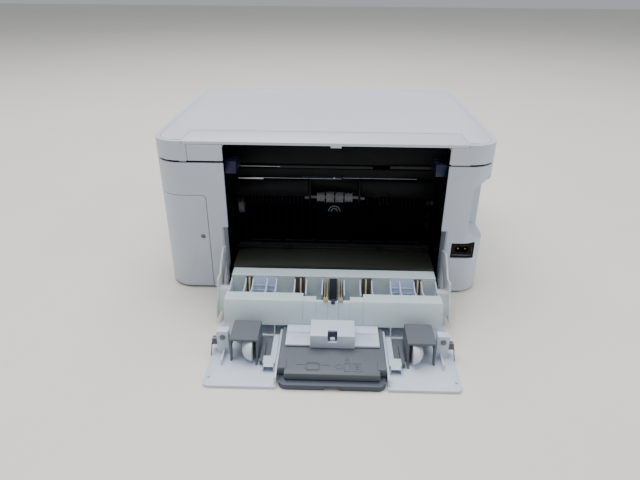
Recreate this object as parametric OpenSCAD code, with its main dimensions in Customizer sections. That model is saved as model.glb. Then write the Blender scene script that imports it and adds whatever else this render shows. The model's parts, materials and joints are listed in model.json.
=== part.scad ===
// Inkjet printer with flatbed scanner, rear jam-clearance door lying open.
// Millimetres. +Z up, the rear of the machine faces +Y, the user's side faces -Y.

/* [Overall size] */
// width of the body, side to side
body_w = 394; // [370:1:420]
// depth of the body, rear face to front face
body_d = 304; // [292:1:330]
// height to the top of the scanner rim
body_h = 191.5; // [184:0.5:204]

/* [Shells] */
// wall thickness of the outer shells
wall = 2.4; // [2:0.1:3]
// plan radius of the upright corners
corner_r = 31; // [20:1:40]
// height of the scanner unit's band at the rear
scan_h = 22.5; // [20:0.5:26]
// shadow gap under the scanner unit
seam = 2.6; // [2.2:0.1:3.4]
// how far the scanner unit's skirt hangs down at the sides and front
skirt_h = 22; // [14:1:24]
// width of the rim around the document lid
rim_w = 5.5; // [4:0.5:8]

/* [Rear opening and door] */
// width of the rear opening
slot_w = 256; // [248:1:262]
// sideways offset of the opening's centre
slot_off = -13; // [-16:1:-10]
// height of the sill at the opening's lower edge
sill_h = 27; // [24:0.5:29]
// thickness of the door's outer panel
door_t = 3; // [2.4:0.2:3.2]
// height of the U-turn guide above the open door
guide_h = 43; // [38:0.5:45]

/* [Paper path] */
// radius of the main feed roller's rubber
feed_r = 8; // [7:0.1:8.4]
// radius of the roller shafts
shaft_r = 4; // [3:0.1:4.4]
// inner width of the paper cassette
cassette_w = 222; // [218:1:226]
// height of the cassette's walls
cassette_h = 40; // [34:1:41]

/* [Print carriage] */
// width of the print carriage
carriage_w = 84; // [78:1:88]
// number of ink cartridges
tanks = 4; // [2:1:4]

/* [Hidden] */
$fn = 48;
hw = body_w / 2;
reach = body_h - 11.5;
yr = (body_d - reach) / 2;
yf = yr - body_d;
top = body_h;
sc_z = body_h - scan_h;
low_z = sc_z - seam;
skirt_z = sc_z - skirt_h;
side_z = skirt_z - seam;
sx0 = slot_off - slot_w / 2;
sx1 = slot_off + slot_w / 2;
notch = 7.5;
notch_z = 86;
hinge = 4;
flap_hw = 160.5;
flap_d = 47;
flap_r = 1.5;
lid_pin = [7, 1];
panel_pin = 1.3;
half = slot_w / 2 - 1.5;
support_hw = 54;
ext_hw = support_hw - 1.6;
pan_t = 2.5;
pan_z = 3;
in_x = hw - wall;
lf_d = 106;
lf_z = 78;
mod = 0.8;
n_lf = 48;
n_id = 38;
n_ej = 36;
n_mo = 16;
id_d = lf_d + mod * (n_lf + n_id) / 2 + 0.25;
ej_d = id_d + mod * (n_id + n_ej) / 2 + 0.25;
mo_d = lf_d - 16;
mo_z = lf_z - sqrt(pow(mod * (n_lf + n_mo) / 2 + 0.25, 2) - 16 * 16);
gx0 = sx0 - notch - 9.5;
car_x1 = hw - 15;
car_x0 = car_x1 - carriage_w;
pan_top = pan_z + pan_t;
cas_x0 = slot_off - cassette_w / 2 - 2;
cas_x1 = slot_off + cassette_w / 2 + 2;
front_x0 = slot_off - 137;
front_x1 = slot_off + 137;
panel_x = hw - corner_r - 6;
glass_w = 306;
glass_d = 224;
glass_d0 = 60;

function Y(d) = yr - d;
function dir(a) = [cos(a), sin(a)];
function perp(p, i) = let (
    a = p[max(i - 1, 0)], b = p[min(i + 1, len(p) - 1)], v = b - a, l = norm(v)
  ) [-v[1] / l, v[0] / l];
function band(p, t) = concat(p, [for (i = [len(p) - 1 : -1 : 0]) p[i] + t * perp(p, i)]);
function mesh_phase(phi, a, na, nb) = phi + 180 - (0.5 - (phi - a) * na / 360) * 360 / nb;

module bx(x0, x1, d0, d1, z0, z1)
  translate([x0, Y(d1), z0]) cube([x1 - x0, d1 - d0, z1 - z0]);

// plan-rounded block between depths d0 and d1
module rb(x0, x1, d0, d1, z0, z1, r) {
  bx(x0 + r, x1 - r, d0, d1, z0, z1);
  bx(x0, x1, d0 + r, d1 - r, z0, z1);
  for (x = [x0 + r, x1 - r], d = [d0 + r, d1 - r])
    translate([x, Y(d), z0]) cylinder(h = z1 - z0, r = r, $fn = 96);
}

module cyx(x0, x1, d, z, r)
  translate([x0, Y(d), z]) rotate([0, 90, 0]) cylinder(h = x1 - x0, r = r);

module cyy(x, d0, d1, z, r)
  translate([x, Y(d0), z]) rotate([90, 0, 0]) cylinder(h = d1 - d0, r = r);

module cyz(x, d, z0, z1, r)
  translate([x, Y(d), z0]) cylinder(h = z1 - z0, r = r);

// side profile given as [depth, z] points, drawn out from x0 to x1
module sidep(x0, x1, pts)
  translate([x0, 0, 0]) rotate([90, 0, 90])
    linear_extrude(height = x1 - x0) polygon([for (p = pts) [Y(p[0]), p[1]]]);

// rear view profile given as [x, z] points, drawn out from depth d0 to d1
module rearp(d0, d1, pts)
  translate([0, Y(d0), 0]) rotate([90, 0, 0]) linear_extrude(height = d1 - d0) polygon(pts);

// parts of the open door: r is measured sideways from the opening's centre, s outwards
module dr(r0, r1, s0, s1, z0, z1)
  bx(slot_off + r0, slot_off + r1, -s1, -s0, z0, z1);

module twin() {
  translate([slot_off, 0, 0]) children();
  translate([slot_off, 0, 0]) mirror([1, 0, 0]) children();
}

module gearp(n, a, x0, x1, d, z) {
  p = 360 / n;
  rr = mod * (n / 2 - 1.25);
  rt = mod * (n / 2 + 0.9);
  translate([x0, Y(d), z]) rotate([90, 0, 90]) linear_extrude(height = x1 - x0)
    polygon([for (i = [0 : n - 1]) each [
      rr * dir(a + (i - 0.26) * p), rt * dir(a + (i - 0.11) * p),
      rt * dir(a + (i + 0.11) * p), rr * dir(a + (i + 0.26) * p)]]);
}

module outer(z0, z1) rb(-hw, hw, 0, body_d, z0, z1, corner_r);
module inner(z0, z1)
  rb(-hw + wall, hw - wall, wall, body_d - wall, z0, z1, corner_r - wall);

// line where the scanner unit meets the lower shell, as a side profile
function part_line(z, drop) = [
  [-5, z], [13, z], [19, z - 0.3 * drop], [25, z - 0.72 * drop], [34, z - drop], [body_d + 5, z - drop]];

module recess(g, d1) intersection() {
  rearp(-2, d1, [
    [-hw + 25 + g, low_z - 26], [-hw + 20 + g, low_z - 22.5 + g], [-hw + 11 + g, low_z - 18.5 + g],
    [-hw + 9 + g, low_z - 15.5 + g], [-hw - 2, low_z - 8.5 + g], [-hw - 2, 70 - g],
    [-hw + 7, 71 - g], [-hw + 15 + g / 2, 74.5 - g], [-hw + 22 + g, 80 - g], [-hw + 25 + g, 88]]);
  sidep(-hw - 3, -hw + 40, concat(part_line(low_z - 4.6 + g, skirt_h), [[body_d + 5, 40], [-5, 40]]));
}

module cover_blank(g) difference() {
  bx(hw - 59 + g, hw + 2, -2, 70 - g, 0, 127 - g);
  difference() {
    bx(hw - 60, hw - 54 + g, -3, 10, 122 - g, 128);
    cyy(hw - 54 + g, -4, 11, 122 - g, 5);
  }
}

// ---------------------------------------------------------------- lower body
module base_pan() color([0.16, 0.16, 0.17]) difference() {
  union() {
    bx(-in_x, in_x, corner_r + 2, body_d - corner_r - 2, pan_z, pan_top);
    bx(-hw + corner_r + 2, hw - corner_r - 2, 12, body_d - wall, pan_z, pan_top);
    for (x = [sx0 - 1, sx1 + 1]) bx(x - 2, x + 2, 90, body_d - 12, pan_top - 1, pan_top + 2);
    for (x = [-100, -58, 58, 100]) {
      bx(slot_off + x - 7, slot_off + x - 2.3, hinge, 14, pan_z, pan_top);
      cyx(slot_off + x - 7, slot_off + x - 2.3, hinge, hinge, 2.6);
    }
  }
  for (x = [-100, -58, 58, 100]) cyx(slot_off + x - 8, slot_off + x - 1, hinge, hinge, 1.25);
}

module rubber_feet() color([0.12, 0.12, 0.12])
  for (x = [-hw + 44, hw - 44], d = [46, body_d - 46]) cyz(x, d, 0, pan_z, 9);

module lower_shell() color([0.84, 0.85, 0.88]) {
  difference() {
    outer(2.5, low_z);
    inner(0, low_z + 1);
    bx(sx0, sx1, -1, wall + 1, 0, low_z + 1);
    bx(sx0 - notch, sx1 + notch, -1, wall + 1, 0, notch_z);
    sidep(-hw - 1, hw + 1, concat(part_line(low_z, skirt_h), [[body_d + 5, low_z + 3], [-5, low_z + 3]]));
    bx(front_x0 - 1, front_x1 + 1, body_d - wall - 1, body_d + 1, 0, 94);
    bx(-panel_x - 0.6, panel_x + 0.6, body_d - wall - 1, body_d + 1, 98, 98.6 + side_z - 103);
    intersection() {
      outer(0, 128);
      cover_blank(0);
    }
    recess(0, 58);
    bx(-184, -155, -1, 4.5, 48.5, 70);
    bx(-181.3, -157.7, 0, 9, 51.7, 67.3);
    for (z = [78 : 5 : 98]) bx(-hw - 1, -hw + wall + 1, 130, 200, z, z + 2);
    panel_pins(1, 2.6);
  }
  intersection() {
    outer(2.5, low_z - 1);
    difference() {
      recess(wall, 58 + wall);
      recess(0, 58);
    }
  }
  difference() {
    intersection() {
      outer(2.5, low_z - 1);
      bx(-187, -152.5, wall - 0.4, 8, 46, 71.5);
    }
    bx(-184, -155, -1, 4.5, 48.5, 70);
    bx(-181.3, -157.7, 0, 9, 51.7, 67.3);
    recess(0, 58);
  }
  for (x = [sx0 - notch, sx1 + notch - 1.4]) bx(x, x + 1.4, wall - 0.2, 26, 6.2, notch_z);
  difference() {
    union() {
      bx(hw - 66, hw - 59.2, wall - 0.5, wall + 3, 62, 84);
      bx(hw - 60, hw - 44, wall + 0.1, wall + 3, 62, 84);
    }
    cyy(hw - 51, -1, 20, 73, 1.6);
  }
}

module side_access_cover() color([0.85, 0.86, 0.89]) difference() {
  intersection() {
    difference() {
      outer(2.9, 127);
      inner(0, 128);
    }
    cover_blank(0.7);
  }
  cyy(hw - 51, -1, 20, 73, 3.2);
}

module side_cover_screw() color([0.35, 0.36, 0.38]) difference() {
  union() {
    cyy(hw - 51, 0.6, 2.3, 73, 2.9);
    cyy(hw - 51, 2.3, 9, 73, 1.55);
  }
  bx(hw - 53, hw - 49, 0, 1.4, 72.6, 73.4);
  bx(hw - 51.4, hw - 50.6, 0, 1.4, 71, 75);
}

module power_inlet() color([0.05, 0.05, 0.05]) difference() {
  union() {
    bx(-181, -158, 4.7, 23, 52, 67);
    bx(-182.6, -155, 8.1, 10, 49, 69);
  }
  for (x = [-173.8, -165.2]) difference() {
    cyy(x, 0, 20, 59.5, 4.4);
    cyy(x, 7, 21, 59.5, 1.2);
  }
  bx(-172, -167, 0, 20, 56, 63);
}

module power_supply() color([0.3, 0.31, 0.32]) difference() {
  bx(-in_x + 4, sx0 - notch - 16, 116, 226, pan_top, 72);
  bx(-in_x + 5.5, sx0 - notch - 17.5, 117.5, 224.5, pan_top + 1.5, 70.5);
  for (d = [126 : 8 : 214]) bx(-in_x + 8, sx0 - notch - 20, d, d + 4, 70, 73);
}

module main_board() color([0.08, 0.3, 0.16]) {
  bx(in_x - 6, in_x - 4.4, 46, 112, 12, 118);
  bx(in_x - 9, in_x - 6, 60, 82, 60, 82);
  bx(in_x - 12, in_x - 6, 88, 108, 24, 38);
  for (z = [88 : 9 : 106]) bx(in_x - 11, in_x - 6, 52, 66, z, z + 6);
  bx(in_x - 18, in_x - 6, 46, 62, 18, 30);
}

module side_plate(x0, x1, jx0, jx1) {
  difference() {
    sidep(x0, x1, [[3, notch_z], [3, low_z - 1], [48, low_z - 1], [48, side_z - 2], [98, side_z - 2],
      [98, 85.4], [210, 85.4], [210, pan_top], [14, pan_top], [14, sill_h], [3, sill_h]]);
    cyx(x0 - 1, x1 + 1, lf_d, lf_z, shaft_r + 0.06);
    cyx(x0 - 1, x1 + 1, ej_d, lf_z, shaft_r + 0.06);
    cyx(x0 - 1, x1 + 1, 87, 60, 3.06);
    bx(x0 - 1, x1 + 1, 120, 170, 20, 55);
  }
  sidep(jx0, jx1, [[3, notch_z], [3, low_z - 1], [48, low_z - 1], [58, notch_z + 34], [58, notch_z]]);
}

module side_frames() color([0.06, 0.06, 0.065]) {
  side_plate(sx1 + notch + 0.2, sx1 + notch + 2.4, sx1, sx1 + notch + 0.3);
  difference() {
    side_plate(sx0 - notch - 2.4, sx0 - notch - 0.2, sx0 - notch - 0.3, sx0);
    cyx(sx0 - notch - 4, sx0 - notch + 1, id_d, lf_z, 2.5);
  }
  bx(sx0 - notch - 1, sx1 + notch + 1, 94, 109, 95, 97.4);
  bx(sx0 - notch - 1, sx1 + notch + 1, ej_d - 5, ej_d + 5, 95.2, 98.8);
  for (x = [sx0 - notch - 2.4, sx1 + notch + 0.2]) bx(x, x + 2.2, ej_d - 5, ej_d + 5, 85, 98.8);
  for (x = [sx0 + 3, sx1 - 5]) difference() {
    union() {
      bx(x, x + 2, lf_d - 5, lf_d + 1, 88, 96);
      bx(x, x + 2, ej_d - 3, ej_d + 3, 87.4, 96);
    }
    cyx(x - 1, x + 3, lf_d - 2, lf_z + feed_r + 4.2, 1.56);
    cyx(x - 1, x + 3, ej_d, lf_z + 11.6, 1.26);
  }
}

module slot_guides() color([0.12, 0.2, 0.5]) {
  sidep(sx1 - 13, sx1, [[7, 152], [10, low_z - 1], [30, low_z - 1], [40, 158], [40, 152]]);
  sidep(sx0, sx0 + 13, [[7, 152], [10, low_z - 1], [30, low_z - 1], [40, 158], [40, 152]]);
  bx(slot_off - 71, slot_off + 27, 62.2, 70, 131, 136);
  bx(slot_off - 71, slot_off - 66, 62.2, 70, 131, side_z - 6.2);
  for (x = [-71, 24]) bx(slot_off + x, slot_off + x + 3, 63, 67, 126, 132);
  cyx(slot_off - 92, slot_off + 42, 65, 128, 1.1);
}

module sill_deck() color([0.32, 0.32, 0.29]) {
  sidep(sx0 + 1, sx1 - 1, [[12, pan_top], [14, pan_top], [14, sill_h - 3], [56, sill_h - 3], [56, 16],
    [78, 16], [78, 18.5], [58.5, 18.5], [58.5, sill_h + 0.5], [54, sill_h], [12, sill_h]]);
  for (i = [-5 : 5]) bx(slot_off + i * 23 - 0.8, slot_off + i * 23 + 0.8, 13, 57, 12, sill_h - 2);
  cyx(sx0 + 1, sx1 - 1, 61, sill_h + 1.4, 1.2);
  bx(sx0 + 1, sx1 - 1, 60.4, 61.6, 17, sill_h + 1);
}

module inner_turn_guide() color([0.07, 0.07, 0.075]) {
  sidep(sx0 + 6, sx1 - 6, [[80, 32], [82, 32], [82, 84], [92, 90], [92, 92], [80, 86]]);
  for (i = [-11 : 11]) if (abs(i) != 1 && i != 0)
    sidep(slot_off + i * 10.6 - 0.8, slot_off + i * 10.6 + 0.8,
      [[81, 32], [70, 34], [66, 42], [65, 58], [67, 72], [72, 82], [81, 86]]);
  bx(sx0 - notch - 0.2, sx1 + notch + 0.2, 82, 86, 34, 46);
}

module upper_feed_frame() color([0.05, 0.05, 0.055]) {
  difference() {
    bx(sx0 - notch - 0.2, sx1 + notch + 0.2, 70, 73, 100, side_z - 4);
    bx(slot_off - 33, slot_off + 33, 69, 74, 99, 122);
    bx(slot_off - 40, slot_off + 40, 69, 74, 99, 101.9);
  }
  bx(sx0, sx1, 60, 96, side_z - 6, side_z - 4);
  bx(sx0, sx1, 60, 62, side_z - 14, side_z - 5);
  for (x = [slot_off - 33, slot_off + 31]) difference() {
    bx(x, x + 2, 63, 84, 92, 124);
    cyx(x - 1, x + 3, 70, 98.5, 2.06);
  }
  bx(slot_off - 33, slot_off + 33, 82, 84, 92, 124);
  for (x = [slot_off - 33, slot_off + 31]) bx(x, x + 2, 70, 84, 110, 124);
  difference() {
    union() {
      bx(sx0, slot_off - 34, 62, 70, 102, 124);
      bx(slot_off + 34, sx1, 62, 70, 102, 124);
      for (s = [-1, 1], i = [0 : 16])
        bx(slot_off + s * (43 + i * 5) - 0.6, slot_off + s * (43 + i * 5) + 0.6, 63, 70, 92, 103);
    }
    bx(slot_off - 69, slot_off - 58, 61, 66, 101, 109);
  }
}

module rear_feed_roller() color([0.72, 0.73, 0.72]) {
  cyx(slot_off - 39, slot_off + 39, 70, 98.5, 2);
  for (r = [[-23, 6.5], [-11, 7.5], [1, 7.5], [13, 6.5]]) {
    cyx(slot_off + r[0] + 1, slot_off + r[0] + 9, 70, 98.5, r[1] - 0.8);
    for (x = [r[0], r[0] + 4.4, r[0] + 8.8]) cyx(slot_off + x, slot_off + x + 1.2, 70, 98.5, r[1]);
  }
  for (x = [-39, 33.6]) cyx(slot_off + x, slot_off + x + 5.4, 70, 98.5, 3);
}

module main_feed_roller() color([0.2, 0.2, 0.21]) {
  cyx(gx0 - 0.5, sx1 + notch + 5, lf_d, lf_z, shaft_r);
  for (i = [-2 : 2]) cyx(slot_off + i * 46 - 14, slot_off + i * 46 + 14, lf_d, lf_z, feed_r);
  gearp(n_lf, 0, gx0, gx0 + 5, lf_d, lf_z);
}

module pinch_rollers() color([0.75, 0.75, 0.72]) {
  cyx(sx0 + 2, sx1 - 2, lf_d - 2, lf_z + feed_r + 4.2, 1.5);
  for (i = [-2 : 2]) cyx(slot_off + i * 46 - 9, slot_off + i * 46 + 9, lf_d - 2, lf_z + feed_r + 4.2, 4);
}

module platen() color([0.09, 0.09, 0.1]) {
  sidep(sx0 - notch, sx1 + notch, [[118, 72], [118, 82.5], [160, 82.5], [160, 72], [157, 72], [157, 79],
    [121, 79], [121, 72]]);
  for (i = [-11 : 11]) bx(slot_off + i * 10.6 - 0.7, slot_off + i * 10.6 + 0.7, 120, 158, 80, 84.6);
  for (x = [sx0 - notch, sx1 + notch - 4]) bx(x, x + 4, 119, 159, 56, 80);
}

module eject_roller() color([0.15, 0.15, 0.16]) {
  cyx(gx0 - 0.5, sx1 + notch + 5, ej_d, lf_z, shaft_r);
  for (i = [-4 : 4]) cyx(slot_off + i * 25 - 5, slot_off + i * 25 + 5, ej_d, lf_z, 7);
  gearp(n_ej, mesh_phase(180, mesh_phase(180, 0, n_lf, n_id), n_id, n_ej), gx0, gx0 + 5, ej_d, lf_z);
}

module star_wheels() color([0.7, 0.7, 0.72]) {
  cyx(sx0 + 2, sx1 - 2, ej_d, lf_z + 11.6, 1.2);
  for (i = [-4 : 4], k = [-3, 2]) cyx(slot_off + i * 25 + k, slot_off + i * 25 + k + 1, ej_d, lf_z + 11.6, 4.3);
}

module idler_gear() color([0.85, 0.84, 0.78]) {
  gearp(n_id, mesh_phase(180, 0, n_lf, n_id), gx0, gx0 + 5, id_d, lf_z);
  cyx(gx0 - 1, sx0 - notch - 0.3, id_d, lf_z, 2.44);
}

module drive_motors() color([0.6, 0.61, 0.63]) {
  difference() {
    union() {
      bx(gx0 - 3, gx0 - 1.4, mo_d - 16, mo_d + 16, pan_top, mo_z + 16);
      cyx(gx0 - 24, gx0 - 2, mo_d, mo_z, 13);
    }
    cyx(gx0 - 30, gx0 + 1, mo_d, mo_z, 1.56);
  }
  difference() {
    union() {
      cyy(hw - 20, 88, 111, 129.5, 13);
      bx(hw - 34, hw - 9.2, 109.5, 112, 114, side_z - 2);
    }
    cyy(hw - 20, 87, 113, 129.5, 2.06);
  }
}

module motor_pinion() color([0.8, 0.68, 0.3]) {
  gearp(n_mo, mesh_phase(atan2(mo_z - lf_z, 16), 0, n_lf, n_mo), gx0, gx0 + 5, mo_d, mo_z);
  cyx(gx0 - 22, gx0 + 0.5, mo_d, mo_z, 1.5);
}

// ---------------------------------------------------------------- printing
module carriage_rail() color([0.66, 0.67, 0.69]) difference() {
  union() {
  bx(sx0 - notch - 4, in_x - 2, 112, 113.6, 98, side_z - 2);
  bx(sx0 - notch - 4, in_x - 2, 112, 119, 98, 99.2);
  bx(sx0 - notch - 4, in_x - 2, 112, 119, side_z - 3.2, side_z - 2);
  for (x = [sx0 - notch - 4, in_x - 3.2]) bx(x, x + 1.2, 112, 119, pan_top, side_z - 2);
  cyy(sx0 - notch + 4, 113, 119.4, 129.5, 1.5);
  }
  cyy(hw - 20, 111, 114, 129.5, 3);
}

module drive_belt() color([0.08, 0.08, 0.08]) {
  bx(sx0 - notch + 4, hw - 20, 115.2, 118.6, 135.2, 136.2);
  bx(sx0 - notch + 4, hw - 20, 115.2, 118.6, 122.8, 123.8);
  for (e = [[sx0 - notch + 4, -1], [hw - 20, 1]]) difference() {
    cyy(e[0], 115.2, 118.6, 129.5, 6.7);
    cyy(e[0], 115, 119, 129.5, 5.7);
    bx(min(e[0], e[0] - e[1] * 10), max(e[0], e[0] - e[1] * 10), 115, 119, 120, 140);
  }
}

module pulley(x, h) difference() {
  union() {
    cyy(x, 115.4, 118.4, 129.5, 5.4);
    cyy(x, 113.9, 114.9, 129.5, 6);
    cyy(x, 114.8, 119.2, 129.5, 3);
  }
  for (a = [0 : 60 : 300]) cyy(x + 4.1 * cos(a), 113, 120, 129.5 + 4.1 * sin(a), 0.7);
  if (h > 0) cyy(x, 113, 120, 129.5, h);
}

module drive_pulley() color([0.8, 0.8, 0.78]) {
  pulley(hw - 20, 0);
  cyy(hw - 20, 90, 114, 129.5, 2);
}

module tail_pulley() color([0.8, 0.8, 0.78]) pulley(sx0 - notch + 4, 1.56);

module print_carriage() color([0.1, 0.1, 0.11]) {
  difference() {
    bx(car_x0, car_x1, 120, 184, 100, 127);
    for (i = [0 : tanks - 1]) let (w = (carriage_w - 4) / tanks)
      bx(car_x0 + 2 + i * w + 0.6, car_x0 + 2 + (i + 1) * w - 0.6, 123, 181, 103, 128);
  }
  difference() {
    bx(car_x0 + 32, car_x1 - 8, 128, 148, 87, 100.5);
    for (i = [0 : 3]) bx(car_x0 + 36 + i * 10, car_x0 + 39 + i * 10, 131, 145, 86, 88);
  }
  bx(car_x0 + 16, car_x1 - 16, 114, 121, 99.6, 121.8);
}

module ink_cartridges() color([0.15, 0.16, 0.18])
  for (i = [0 : tanks - 1]) let (w = (carriage_w - 4) / tanks) {
    bx(car_x0 + 2 + i * w + 1, car_x0 + 2 + (i + 1) * w - 1, 123.4, 180.6, 103, 132);
    bx(car_x0 + 2 + i * w + 2.4, car_x0 + 2 + (i + 1) * w - 2.4, 170, 180, 131, 137);
    cyz(car_x0 + 2 + (i + 0.5) * w, 140, 131, 133.2, 3);
  }

module maintenance_station() color([0.25, 0.25, 0.26]) {
  difference() {
    bx(sx1 + notch + 4, car_x1 - 1, 122, 192, pan_top, 73);
    bx(sx1 + notch + 8, car_x1 - 5, 164, 188, 40, 75);
  }
  difference() {
    bx(car_x0 + 31.5, car_x1 - 7.5, 128, 149, 72, 84);
    for (i = [0 : 3]) bx(car_x0 + 34 + i * 10, car_x0 + 41 + i * 10, 131, 146, 79, 85);
  }
  bx(car_x0 + 34, car_x1 - 10, 175, 176.4, 40, 84);
  for (x = [car_x0 + 34, car_x1 - 12]) bx(x, x + 2, 170, 182, 39, 60);
}

module pickup_arm() color([0.14, 0.14, 0.15]) {
  cyx(sx0 - notch - 2.4, sx1 + notch + 2.4, 87, 60, 3);
  for (x = [slot_off - 21, slot_off + 17]) difference() {
    sidep(x, x + 4, [[83, 64], [90, 65], [107, 43], [106, 33], [97, 33], [83, 57]]);
    cyx(x - 1, x + 5, 101, 38, 2.06);
  }
}

module pickup_roller() color([0.3, 0.3, 0.31]) {
  cyx(slot_off - 21, slot_off + 21, 101, 38, 2);
  for (x = [-15, 3]) cyx(slot_off + x, slot_off + x + 12, 101, 38, 9);
}

// ---------------------------------------------------------------- cassette
module cassette_tray() color([0.13, 0.13, 0.14]) difference() {
  bx(cas_x0, cas_x1, 92, body_d - 6, pan_top + 0.4, pan_top + 0.4 + cassette_h);
  bx(cas_x0 + 2, cas_x1 - 2, 94, body_d, pan_top + 2.4, 60);
  sidep(cas_x0 + 2, cas_x1 - 2, [[90, 60], [90, 26], [95, pan_top + 3], [98, 60]]);
  bx(slot_off - 90, slot_off + 90, 160, 176, 0, 12);
}

module cassette_front() color([0.86, 0.87, 0.89]) {
  difference() {
    bx(cas_x0 + 2.4, cas_x1 - 2.4, 205, body_d - 4, pan_top + 2.8, pan_top + cassette_h - 1);
    bx(cas_x0 + 4.4, cas_x1 - 4.4, 200, body_d - 8, pan_top + 4.6, 60);
  }
  difference() {
    bx(front_x0, front_x1, body_d - 5, body_d, pan_top + 1.5, 47.5);
    bx(slot_off - 45, slot_off + 45, body_d - 3, body_d + 1, pan_top - 1, 17);
  }
  bx(slot_off - 45, slot_off + 45, body_d - 5, body_d - 3, pan_top + 1.5, 17.5);
}

module width_guide(x, s) {
  bx(x - 1.5, x + 1.5, 112, 190, pan_top + 2.8, pan_top + 36);
  bx(min(x, x + s * 22), max(x, x + s * 22), 130, 172, pan_top + 2.8, pan_top + 4.6);
  bx(min(x, x + s * 5), max(x, x + s * 5), 145, 157, pan_top + 3, pan_top + 34);
}

module width_guide_left() color([0.2, 0.45, 0.75]) width_guide(slot_off + 106.7, -1);
module width_guide_right() color([0.2, 0.45, 0.75]) width_guide(slot_off - 106.7, 1);

module output_tray() color([0.15, 0.15, 0.16]) {
  difference() {
    bx(cas_x0, cas_x1, 122, body_d - 6, pan_top + cassette_h + 0.4, pan_top + cassette_h + 2.4);
    bx(slot_off - 46, slot_off + 46, body_d - 24, body_d, 40, 60);
  }
  for (x = [-41, 39]) difference() {
    bx(slot_off + x, slot_off + x + 2, body_d - 33, body_d - 25, pan_top + cassette_h + 1, pan_top + cassette_h + 6.8);
    cyx(slot_off + x - 1, slot_off + x + 3, body_d - 29, pan_top + cassette_h + 4.2, 0.9);
  }
  for (x = [cas_x0, cas_x1 - 2]) bx(x, x + 2, 122, body_d - 6, pan_top + cassette_h + 2, pan_top + cassette_h + 6);
}

module paper_stopper() color([0.2, 0.2, 0.21]) {
  bx(slot_off - 38, slot_off + 38, body_d - 69, body_d - 29, pan_top + cassette_h + 2.8, pan_top + cassette_h + 5);
  cyx(slot_off - 38, slot_off + 38, body_d - 29, pan_top + cassette_h + 4.2, 1.6);
  cyx(slot_off - 40.5, slot_off + 40.5, body_d - 29, pan_top + cassette_h + 4.2, 0.84);
}

// ---------------------------------------------------------------- control panel
panel_z0 = 98.6;
panel_z1 = side_z - 5;
panel_zc = (panel_z0 + panel_z1) / 2;
btn = [[-118, 6], [75, 6], [110, 6]];

module control_panel() color([0.1, 0.1, 0.11]) difference() {
  union() {
    panel_pins(0.9, 2.2);
    bx(-panel_x, panel_x, body_d - 3, body_d, panel_z0, panel_z1);
    for (x = [-panel_x, panel_x - 2]) bx(x, x + 2, body_d - 9.5, body_d - 2, panel_z0 + 8, panel_z1 - 1);
    bx(-panel_x, panel_x, body_d - 9.5, body_d - 8, panel_z0 + 8, panel_z1 - 1);
  }
  bx(-70, 30, body_d - 2.2, body_d + 1, panel_zc - 17, panel_zc + 17);
  for (b = btn) cyy(b[0], body_d - 4, body_d + 1, panel_zc, b[1] + 0.25);
}

module panel_pins(r, l) for (s = [-1, 1])
  cyx(min(s * (panel_x - 1), s * (panel_x + l)), max(s * (panel_x - 1), s * (panel_x + l)),
    body_d - 1.2, panel_z1 - panel_pin, r);

module touch_screen() color([0.03, 0.04, 0.06])
  bx(-69.7, 29.7, body_d - 2.2, body_d - 0.2, panel_zc - 16.7, panel_zc + 16.7);

module push_button(b) {
  cyy(b[0], body_d - 6.5, body_d, panel_zc, b[1]);
  cyy(b[0], body_d - 6.5, body_d - 4, panel_zc, b[1] + 1.5);
}

module power_button() color([0.75, 0.76, 0.78]) push_button(btn[0]);
module stop_button() color([0.78, 0.3, 0.28]) push_button(btn[1]);
module start_button() color([0.3, 0.6, 0.4]) push_button(btn[2]);

// ---------------------------------------------------------------- scanner unit
module scanner_frame() color([0.85, 0.86, 0.89]) {
  difference() {
    outer(skirt_z, top);
    inner(skirt_z - 1, top - 7);
    rb(-hw + rim_w, hw - rim_w, rim_w, body_d - rim_w, top - 3.4, top + 1, corner_r - rim_w);
    sidep(-hw - 1, hw + 1, concat(part_line(sc_z, skirt_h), [[body_d + 5, 100], [-5, 100]]));
    bx(-flap_hw - 0.5, flap_hw + 0.5, -1, flap_d + 0.6, top - 3.3, top + 1);
    bx(sx0, sx1, -1, 50, 100, top + 1);
    bx(sx1 - 1, sx1 + 40.5, -1, wall, 100, top - 3.2);
    bx(-glass_w / 2 - 0.3, glass_w / 2 + 0.3, glass_d0 - 0.3, glass_d0 + glass_d + 0.3, top - 7.5, top);
    for (x = [-178, 162]) bx(x - 1, x + 17, 9, 34, top - 14, top - 3);
    bx(slot_off - 34, slot_off + 34, body_d - rim_w - 3, body_d + 1, top - 3.4, top + 1);
  }
  for (x = [[-hw + 33, sx0 - 2], [sx1 + 42, hw - 32]]) cyx(x[0], x[1], 2.5, sc_z - 0.4, 1.4);
  difference() {
    bx(-glass_w / 2 - 4, glass_w / 2 + 4, glass_d0 - 4, glass_d0 + glass_d + 4, top - 9.2, top - 7);
    bx(-glass_w / 2 + 4, glass_w / 2 - 4, glass_d0 + 4, glass_d0 + glass_d - 4, top - 10, top);
  }
  difference() {
    bx(-glass_w / 2 - 4, glass_w / 2 + 4, glass_d0 - 4, glass_d0 + glass_d + 4, top - 8, top - 6);
    bx(-glass_w / 2 - 0.3, glass_w / 2 + 0.3, glass_d0 - 0.3, glass_d0 + glass_d + 0.3, top - 9, top);
  }
}

module rear_band_panel() color([0.86, 0.87, 0.9])
  bx(sx1, sx1 + 39.9, 0, wall, sc_z, top - 3.4);

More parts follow.
